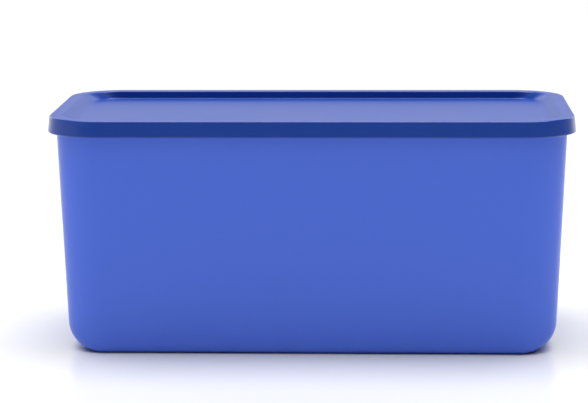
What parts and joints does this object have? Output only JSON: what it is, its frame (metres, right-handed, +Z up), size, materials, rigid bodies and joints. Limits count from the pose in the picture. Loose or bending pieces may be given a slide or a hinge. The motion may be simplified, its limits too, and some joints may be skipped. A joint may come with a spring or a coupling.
{
  "type": "rectangular storage container",
  "caption": "Shut rectangular food storage container: a drafted tub with rounded corners and base, and a skirted lid with a sunk panel that presses down over the rim.",
  "frame": {"origin": "middle of the base, at the height of the surface that the container stands on", "axes": "+X along the long side, +Y towards the back, +Z up"},
  "size_m": [0.2998, 0.1498, 0.1348],
  "materials": {
    "tub_plastic": "satin moulded plastic, mid blue",
    "lid_plastic": "satin moulded plastic, deep blue"
  },
  "bodies": {
    "root": {"tub": "tub_plastic", "lid": "lid_plastic"}
  },
  "joints": []
}
